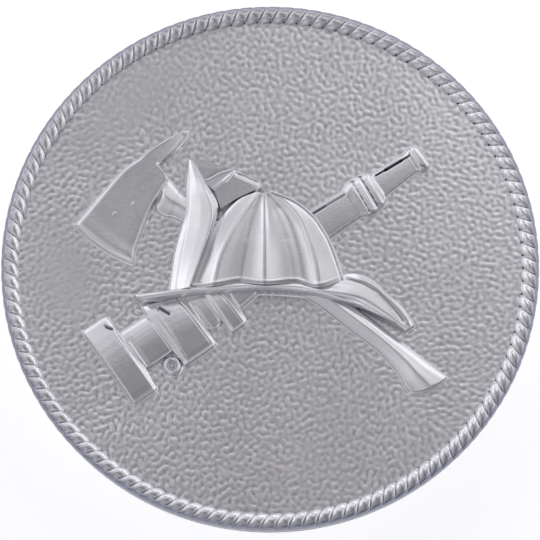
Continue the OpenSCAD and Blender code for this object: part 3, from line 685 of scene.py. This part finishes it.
def metal(name, pale, deep, roughness, grain, grain_depth, cloud, edge=None):
    """A plated metal: its colour and roughness drift in clouds, and a fine grain breaks its reflections.

    cloud and grain are the scales of the two, and grain_depth is in metres. The colour is darkened to SHADE_COLOUR by
    each
    point's painted shade. edge is a colour, and the distances from the axis in mm between which the metal darkens to
    it:
    a painted dark reflection at the rim.
    """
    material = bpy.data.materials.new(name)
    tree = node_tree(material)
    new, link = tree.nodes.new, tree.links.new
    place = new("ShaderNodeTexCoord").outputs["Object"]

    def noise(scale, detail):
        texture = new("ShaderNodeTexNoise")
        texture.inputs["Scale"].default_value = scale
        texture.inputs["Detail"].default_value = detail
        link(place, texture.inputs["Vector"])
        return texture.outputs["Fac"]

    def darkened(clean, share, dark):
        mix = new("ShaderNodeMix")
        mix.data_type = "RGBA"
        link(share, mix.inputs["Factor"])
        first, second = [i for i in mix.inputs if i.type == "RGBA"][:2]
        link(clean, first)
        second.default_value = dark + (1,)
        return next(o for o in mix.outputs if o.type == "RGBA")

    tint = new("ShaderNodeValToRGB")
    for element, position, colour in zip(tint.color_ramp.elements, CLOUD_EDGES, (deep, pale)):
        element.position, element.color = position, colour + (1,)
    link(noise(cloud, detail=3), tint.inputs["Fac"])
    # painted shade: each point's painted shade darkens the colour towards SHADE_COLOUR
    shade_mask = new("ShaderNodeAttribute")
    shade_mask.attribute_name = "painted_shade"
    colour = darkened(tint.outputs["Color"], shade_mask.outputs["Fac"], SHADE_COLOUR)
    # painted dark reflection: the colour darkens towards the outer edge
    if edge:
        parts, flat = new("ShaderNodeSeparateXYZ"), new("ShaderNodeCombineXYZ")
        reach = new("ShaderNodeVectorMath")
        reach.operation = "LENGTH"
        fade = new("ShaderNodeMapRange")
        fade.inputs["From Min"].default_value, fade.inputs["From Max"].default_value = edge[1] * MM, edge[2] * MM
        link(place, parts.inputs["Vector"])
        link(parts.outputs["X"], flat.inputs["X"])
        link(parts.outputs["Y"], flat.inputs["Y"])
        link(flat.outputs["Vector"], reach.inputs[0])
        link(reach.outputs["Value"], fade.inputs["Value"])
        colour = darkened(colour, fade.outputs["Result"], edge[0])
    rough = new("ShaderNodeMapRange")
    rough.inputs["To Min"].default_value, rough.inputs["To Max"].default_value = roughness
    link(noise(PATINA_FINER * cloud, detail=5), rough.inputs["Value"])
    bump = new("ShaderNodeBump")
    bump.inputs["Strength"].default_value = 1.0
    bump.inputs["Distance"].default_value = grain_depth
    link(noise(grain, detail=2), bump.inputs["Height"])
    shader = new("ShaderNodeBsdfPrincipled")
    shader.inputs["Metallic"].default_value = 1.0
    link(colour, shader.inputs["Base Color"])
    link(rough.outputs["Result"], shader.inputs["Roughness"])
    link(bump.outputs["Normal"], shader.inputs["Normal"])
    link(shader.outputs["BSDF"], new("ShaderNodeOutputMaterial").inputs["Surface"])
    return material


bright = metal("bright_nickel_metal", pale=(0.83, 0.83, 0.845), deep=(0.745, 0.745, 0.775),
               roughness=(0.20, 0.30), grain=9000, grain_depth=0.000004, cloud=500)
# the rope darkens to dark blue-grey at its outer edge: a painted dark reflection
rope_metal = metal("rope_nickel_metal", pale=(0.84, 0.84, 0.86), deep=(0.74, 0.74, 0.78),
                   roughness=(0.14, 0.24), grain=12000, grain_depth=0.000003, cloud=700,
                   edge=((0.26, 0.27, 0.33), 12.32, 12.58))
# the plate's side darkens to dark blue-grey at its outer edge: a painted dark reflection
satin = metal("satin_nickel_metal", pale=(0.92, 0.91, 0.93), deep=(0.85, 0.84, 0.865),
              roughness=(0.26, 0.36), grain=4600, grain_depth=0.000008, cloud=260,
              edge=((0.24, 0.25, 0.31), 12.3, 12.5))
back_metal = metal("back_nickel_metal", pale=(0.76, 0.76, 0.78), deep=(0.68, 0.68, 0.71),
                   roughness=(0.24, 0.36), grain=5000, grain_depth=0.000004, cloud=300)


# -------------------- axe
def tool_base(stations, sections):
    """A dense grid over a tool, from stations: both edges, height, bulge and share of the second section."""
    cross = np.linspace(0, 1, TOOL_POINTS)
    profiles = [np.interp(cross, [k[0] for k in section], [k[1] for k in section]) for section in sections]
    rows = []
    for ax, ay, bx, by, height, bulge, second in stations:
        a, b = np.array([ax, ay]), np.array([bx, by])
        side = b - a
        out = np.array([side[1], -side[0]]) / np.linalg.norm(side)
        plan = a + cross[:, None] * side + (bulge * 4 * cross * (1 - cross))[:, None] * out
        profile = (1 - second) * profiles[0] + second * profiles[-1]
        rows.append(np.column_stack([plan, height * profile, np.zeros(len(cross))]))
    return np.array(rows)


def axe_head():
    """Dense grid of the axe head, with its edge lines and specks."""
    rows = np.array([[*edges, share * HEAD_T, bulge, 0] for *edges, share, bulge in HEAD])
    stations = [smooth(rows[i:j + 1], HEAD_STEPS)[:-1] for i, j in HEAD_RUNS] + [rows[-1:]]
    head = blur(tool_base(np.vstack(stations), [HEAD_SECTION]), HEAD_SOFT, 0)
    for line, width, depth, painted_shade in HEAD_LINES:
        head = lined(head, smooth(line, LINE_STEPS), width, depth, painted_shade)
    for x, y, width, rise in HEAD_SPECKS:
        head = lined(head, [[x, y], [x + SPECK_LENGTH, y]], width, -rise)
    return head


def axe_handle():
    """Dense grid of the axe handle."""
    stations = smooth([row + [0] for row in HANDLE], HANDLE_STEPS)
    return blur(tool_base(stations, [HANDLE_SECTION]), HANDLE_SOFT, 1)


# -------------------- hose nozzle
def on_hose(along, over):
    """A place in plan, a distance along the nozzle's axis and over it."""
    return HOSE_START + HOSE_AXIS * along + HOSE_SIDE * over


def hose_nozzle():
    """Dense grid of the nozzle from coupling to tip, with its rings, notch and slit."""
    table = np.array([[*on_hose(along, above), *on_hose(along, -below), height, 0, how_round]
                      for along, above, below, height, how_round in HOSE])
    gaps = np.diff([row[0] for row in HOSE])
    stations = [table[i] + f * (table[i + 1] - table[i]) for i in range(len(table) - 1)
                for f in np.linspace(0, 1, max(3, int(gaps[i] / HOSE_STEP)), endpoint=False)]
    hose = tool_base(np.vstack(stations + [table[-1]]), [FLAT_SECTION, ROUND_SECTION])
    for a0, o0, a1, o1, width, depth, painted_shade in HOSE_LINES:
        hose = lined(hose, [on_hose(a0, o0), on_hose(a1, o1)], width, depth, painted_shade)
    return hose


def hose_lug():
    """Points and faces of the round lug."""
    turns = np.linspace(0, 2 * np.pi, LUG_SIDES, endpoint=False)
    line = smooth(LUG, LUG_STEPS)
    points = [[*on_hose(LUG_AT[0] + r * math.cos(t), LUG_AT[1] + r * math.sin(t)), z, painted_shade]
              for t in turns for r, z, painted_shade in line]
    i, j = np.meshgrid(np.arange(LUG_SIDES) * len(line), np.arange(len(line) - 1), indexing="ij")
    k = np.roll(i, -1, axis=0)
    return points, np.stack([i + j, i + j + 1, k + j + 1, k + j], -1).reshape(-1, 4).tolist()


# -------------------- helmet
def helmet_brim():
    """Dense grid of the brim and its leaf."""
    brim = across_lines(BRIM, BRIM_ACROSS, BRIM_STEPS)
    brim = blur(blur(brim, BRIM_SOFT_ACROSS, 1), BRIM_SOFT_ALONG, 0)
    brim = lined(brim, smooth(BRIM[0], BRIM_STEPS)[BRIM_STEPS:], *BRIM_FRONT_LINE)
    for line, width, depth, painted_shade in BRIM_LINES:
        brim = lined(brim, line, width, depth, painted_shade)
    return brim


def helmet_crown(brim_edge):
    """Dense grid of the ribbed dome, down to the brim."""
    lines = [smooth(line, HELMET_STEPS) for line in CROWN]
    crown = blur(across_lines(CROWN, HELMET_ACROSS, HELMET_STEPS, swell=CROWN_SWELL), CROWN_SOFT, 1)
    crown = ended_at(crown, brim_edge)
    for number, shift, width, depth, painted_shade in CROWN_LINES:
        crown = lined(crown, beside(lines[number], shift), width, depth, painted_shade)
    for number in CROWN_VALLEYS:
        crown = lined(crown, lines[number][VALLEY_PART], *VALLEY_LINE)
    for shift, width, depth, painted_shade in CROWN_FOOT_LINES:
        crown = lined(crown, beside(brim_edge, shift), width, depth, painted_shade)
    return crown


def helmet_shield(brim_edge):
    """Dense grid of the front shield, down to the brim."""
    lines = [smooth(line, HELMET_STEPS) for line in SHIELD]
    shield = blur(across_lines(SHIELD, HELMET_ACROSS, HELMET_STEPS), SHIELD_SOFT, 1)
    shield = ended_at(shield, brim_edge)
    for number, shift, first, width, depth, painted_shade in SHIELD_LINES:
        shield = lined(shield, beside(lines[number], shift)[first:], width, depth, painted_shade)
    return shield


def fine_facets(corners, facets, cuts):
    """Small triangles over flat facets, welded where facets meet."""
    found, points, faces = {}, [], []

    def number(p):
        key = tuple(np.round(p[:3], 5))
        if key not in found:
            found[key] = len(points)
            points.append(p)
        return found[key]

    for facet in facets:
        a, b, c = [corners[v] for v in facet]
        rows = [[number(a + (b - a) * i / cuts + (c - b) * j / cuts) for j in range(i + 1)]
                for i in range(cuts + 1)]
        for i in range(cuts):
            for j in range(i + 1):
                faces.append([rows[i][j], rows[i + 1][j], rows[i + 1][j + 1]])
                if j < i:
                    faces.append([rows[i][j], rows[i + 1][j + 1], rows[i][j + 1]])
    return np.array(points), faces


def shield_bracket():
    """Points and faces of the bracket, a solid under its fine facets."""
    corners = np.pad(np.array(BRACKET), ((0, 0), (0, 1)))
    points, faces = fine_facets(corners, BRACKET_FACETS, BRACKET_CUTS)
    for line, width, depth, painted_shade in BRACKET_LINES:
        points = lined(points[None], line, width, depth, painted_shade)[0]
    used = dict.fromkeys((a, b) for f in faces for a, b in zip(f, f[1:] + f[:1]))
    edges = {a: b for a, b in used if (b, a) not in used}
    rim = [next(iter(edges))]
    while edges[rim[-1]] != rim[0]:
        rim.append(edges[rim[-1]])
    return closed_relief(points, faces, np.array(rim), BRACKET_FLARE, times=0)


add_grid("axe_head_relief", "axe_head", axe_head())
add_grid("axe_handle_relief", "axe_handle", axe_handle())
add_grid("hose_nozzle_relief", "hose_nozzle", hose_nozzle(), spacing=HOSE_SPACING)
add_relief("hose_lug", "hose_nozzle", *hose_lug())
add_grid("helmet_brim_relief", "helmet_brim", helmet_brim())
crown_foot = smooth(BRIM[FOOT_LINE], BRIM_STEPS)
add_grid("helmet_crown_relief", "helmet_crown", helmet_crown(crown_foot), radius=CROWN_EDGE_R)
add_grid("helmet_shield_relief", "helmet_shield", helmet_shield(crown_foot))
add_relief("shield_bracket_relief", "shield_bracket", *shield_bracket(), sharp=30)


# -------------------- rope border
def rope():
    """Points and faces of the closed ring of strands."""
    columns = STRANDS * STRAND_STEPS
    low_z, crest_z = SEAT_Z + GAP, FIELD_Z + ROPE_RISE
    half_h, mid_z, mid_r = (crest_z - low_z) / 2, (crest_z + low_z) / 2, BADGE_R - ROPE_W / 2
    a = ROPE_ANGLES
    shown = np.clip(np.minimum((a - GROOVE_FROM) / GROOVE_GROWS, (GROOVE_TO - a) / GROOVE_FADES), GROOVE_LEAST, 1)
    f = (np.arange(columns) % STRAND_STEPS) / STRAND_STEPS
    cut = STRAND_CUT * (1 - np.sqrt(np.clip(1 - STRAND_ROUND * (2 * f - 1) ** 2, 0, 1)))
    cut = cut[:, None] * shown[None, :]
    lean = STRAND_LEAN * a[None, :] / 180
    turn = (np.arange(columns)[:, None] / STRAND_STEPS - lean) * 2 * np.pi / STRANDS
    rad = np.radians(a)[None, :]
    r = mid_r - (ROPE_W / 2 - cut) * np.cos(rad)
    z = mid_z + (half_h - cut) * np.sin(rad)
    z = np.where((a < SEATED_BEFORE) | (a > SEATED_AFTER), low_z, z)
    # painted shade and painted dark reflection round the rim by clock hour, and painted shade in the grooves
    clock = np.mod(RIM_START_HOUR - np.arange(columns) / columns * 12, 12)
    hours, *shares = zip(*RIM_SHADE)
    places = [(INNER_TO - a) / INNER_FADES, CREST_FULL - np.abs(a - CREST_AT) / CREST_FADES,
              (a - OUTER_FROM) / OUTER_FADES]
    painted_shade = np.max([np.interp(clock, hours, share)[:, None] * np.clip(place, 0, 1)
                    for share, place in zip(shares, places)], 0)
    painted_shade = np.maximum(painted_shade, GROOVE_SHADE * cut / STRAND_CUT)
    points = np.stack([r * np.cos(turn), r * np.sin(turn), np.maximum(z, low_z), painted_shade], -1)
    m = len(a)
    i, j = np.meshgrid(np.arange(columns), np.arange(m), indexing="ij")
    nxt, up = (i + 1) % columns, (j + 1) % m
    faces = np.stack([i * m + j, nxt * m + j, nxt * m + up, i * m + up], -1).reshape(-1, 4)
    return points.reshape(-1, 4), faces.tolist()


add_mesh("rope_twist", *rope(), rope_metal, "bright_nickel", "rope_border", sharp=75)


# -------------------- disc with its stippled field
def stipple(side, cell, low, high, seed):
    """A square of soft ridges and dimples of a given range of wavelengths in mm, from seeded noise."""
    noise = np.random.default_rng(seed).standard_normal((side, side))
    f = np.fft.fftfreq(side, cell)
    size = np.hypot(f[:, None], f[None, :])
    band = np.exp(-0.5 * ((size - (1 / low + 1 / high) / 2) / ((1 / low - 1 / high) / 2)) ** 2)
    field = np.real(np.fft.ifft2(np.fft.fft2(noise) * band))
    return np.clip(field / field.std(), -STIPPLE_MOST, STIPPLE_MOST)


def smooth_share(x, y):
    """How far the stipple is polished away at a place of the field, from 0 to 1."""
    share = np.zeros_like(x)
    for cx, cy, long_r, short_r, lean, most in SMOOTH_SPOTS:
        a = math.radians(lean)
        u = (x - cx) * math.cos(a) + (y - cy) * math.sin(a)
        v = (y - cy) * math.cos(a) - (x - cx) * math.sin(a)
        share = np.maximum(share, most * np.exp(-((u / long_r) ** 2 + (v / short_r) ** 2) ** 1.5))
    return share


def field_height(x, y):
    """Height of the stipple at places of the field, in units of its own spread."""
    bumps = stipple(STIPPLE_CELLS, STIPPLE_CELL, *STIPPLE_WAVES, STIPPLE_SEED)
    gi, gj = (x + STIPPLE_REACH) / STIPPLE_CELL, (y + STIPPLE_REACH) / STIPPLE_CELL
    i0, j0 = gi.astype(int), gj.astype(int)
    fi, fj = gi - i0, gj - j0
    height = ((1 - fi) * (1 - fj) * bumps[i0, j0] + fi * (1 - fj) * bumps[i0 + 1, j0]
              + (1 - fi) * fj * bumps[i0, j0 + 1] + fi * fj * bumps[i0 + 1, j0 + 1])
    height *= 1 - smooth_share(x, y)
    return height


def square_to_disc(n):
    """Radius, from 0 to 1, and angle of the points of a square grid pressed into a circle."""
    t = np.linspace(-1, 1, n)
    u, v = np.meshgrid(t, t, indexing="ij")
    wide = np.abs(u) > np.abs(v)
    with np.errstate(divide="ignore", invalid="ignore"):
        phi = np.where(wide, np.pi / 4 * np.nan_to_num(v / u) + np.where(u < 0, np.pi, 0),
                       np.pi / 2 - np.pi / 4 * np.nan_to_num(u / v) + np.where(v < 0, np.pi, 0))
    return np.where(wide, np.abs(u), np.abs(v)), phi


def disc():
    """Points and faces of the plate: its stippled field, its side with the ledge, and its back."""
    n = FIELD_POINTS
    r, phi = square_to_disc(n)
    x, y = r * FIELD_R * np.cos(phi), r * FIELD_R * np.sin(phi)
    height = field_height(x, y)
    uneven = 1 + sum(share * np.clip((x - start) / over, 0, 1) for share, start, over in STIPPLE_DRIFT)
    # painted shade: darker in the stipple's dimples
    middle, steep, most = DIMPLE_SHADE
    painted_shade = np.clip(middle - steep * height, 0, most)
    points = np.stack([x, y, FIELD_Z + STIPPLE * height * uneven, painted_shade], -1).reshape(-1, 4)
    rim = grid_rim(n, n)
    around = np.arctan2(points[rim, Y], points[rim, X])
    rings = [np.column_stack([radius * np.cos(around), radius * np.sin(around), np.full(len(rim), z),
                              np.zeros(len(rim))]) for radius, z in PLATE_RINGS]
    points, faces, last = hung_rings(points, grid_faces(n, n).tolist(), rim, rings)
    return points, faces + [last[::-1].tolist()]


add_mesh("disc_plate", *disc(), satin, "satin_nickel", "disc", sharp=50)

# -------------------- back post
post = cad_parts["back_post"]
post.data.materials.clear()
post.data.materials.append(back_metal)


# -------------------- floor, light and camera
def pale_floor():
    """A wide square of pale paper."""
    mesh = bpy.data.meshes.new("floor")
    w = FLOOR_HALF
    mesh.from_pydata([(-w, -w, 0), (w, -w, 0), (w, w, 0), (-w, w, 0)], [], [[0, 1, 2, 3]])
    floor = bpy.data.objects.new("floor", mesh)
    bpy.context.scene.collection.objects.link(floor)
    paper = bpy.data.materials.new("floor_paper")
    tree = node_tree(paper)
    shader = tree.nodes.new("ShaderNodeBsdfPrincipled")
    shader.inputs["Base Color"].default_value = (FLOOR_GREY, FLOOR_GREY, FLOOR_GREY, 1)
    shader.inputs["Roughness"].default_value = 0.9
    shader.inputs["Emission Color"].default_value = (1, 1, 1, 1)
    shader.inputs["Emission Strength"].default_value = FLOOR_GLOW
    out = tree.nodes.new("ShaderNodeOutputMaterial")
    tree.links.new(shader.outputs["BSDF"], out.inputs["Surface"])
    mesh.materials.append(paper)
    return floor


def toward(azimuth, elevation):
    """The direction to a lamp."""
    a, e = math.radians(azimuth), math.radians(elevation)
    return math.cos(a) * math.cos(e), math.sin(a) * math.cos(e), math.sin(e)


def studio():
    """The soft light from all round, and the soft lamps far off."""
    world = bpy.data.worlds.new("studio")
    bpy.context.scene.world = world
    tree = node_tree(world)
    new, link = tree.nodes.new, tree.links.new
    place = new("ShaderNodeTexCoord").outputs["Generated"]
    sky = new("ShaderNodeCombineXYZ").outputs[0]
    for socket, value in zip(sky.node.inputs, AMBIENT):
        socket.default_value = value
    for azimuth, elevation, full, faded, power in LAMPS:
        facing = new("ShaderNodeVectorMath")
        facing.operation = "DOT_PRODUCT"
        facing.inputs[1].default_value = toward(azimuth, elevation)
        link(place, facing.inputs[0])
        fall = new("ShaderNodeMapRange")
        fall.interpolation_type = "SMOOTHERSTEP"
        fall.inputs["From Min"].default_value = math.cos(math.radians(faded))
        fall.inputs["From Max"].default_value = math.cos(math.radians(full))
        link(facing.outputs["Value"], fall.inputs["Value"])
        lamp = new("ShaderNodeVectorMath")
        lamp.operation = "MULTIPLY_ADD"
        lamp.inputs[0].default_value = [power * c for c in LAMP_TINT]
        link(fall.outputs["Result"], lamp.inputs[1])
        link(sky, lamp.inputs[2])
        sky = lamp.outputs[0]
    background = new("ShaderNodeBackground")
    link(sky, background.inputs["Color"])
    link(background.outputs["Background"], new("ShaderNodeOutputWorld").inputs["Surface"])


def near_lamps():
    """The soft lamps near the badge, turned to it."""
    for k, (azimuth, elevation, distance, radius, power) in enumerate(NEAR_LAMPS):
        direction = Vector(toward(azimuth, elevation))
        light = bpy.data.lights.new("soft_lamp_%d" % k, "AREA")
        light.shape = "DISK"
        light.size = 2 * radius * MM
        light.energy = power
        lamp = bpy.data.objects.new("soft_lamp_%d" % k, light)
        lamp.location = Vector((0, 0, FIELD_Z * MM)) + direction * distance * MM
        lamp.rotation_euler = direction.to_track_quat("Z", "Y").to_euler()
        lamp.visible_camera = False
        bpy.context.scene.collection.objects.link(lamp)


def front_camera():
    """The camera, tilted toward the badge from in front of it."""
    tilt = math.radians(CAMERA_ELEVATION)
    lens = bpy.data.cameras.new("camera")
    lens.sensor_width = SENSOR
    lens.lens = SENSOR * CAMERA_AWAY / (FRAME_MM * MM)
    lens.clip_start, lens.clip_end = CAMERA_CLIP
    camera = bpy.data.objects.new("camera", lens)
    camera.location = Vector(CAMERA_AIM) * MM + Vector((0, -math.cos(tilt), math.sin(tilt))) * CAMERA_AWAY
    camera.rotation_euler = (math.radians(90) - tilt, 0, 0)
    bpy.context.scene.collection.objects.link(camera)
    return camera


floor = pale_floor()
studio()
near_lamps()
bpy.context.scene.view_settings.view_transform = "Standard"
camera = front_camera()
bpy.context.scene.camera = camera
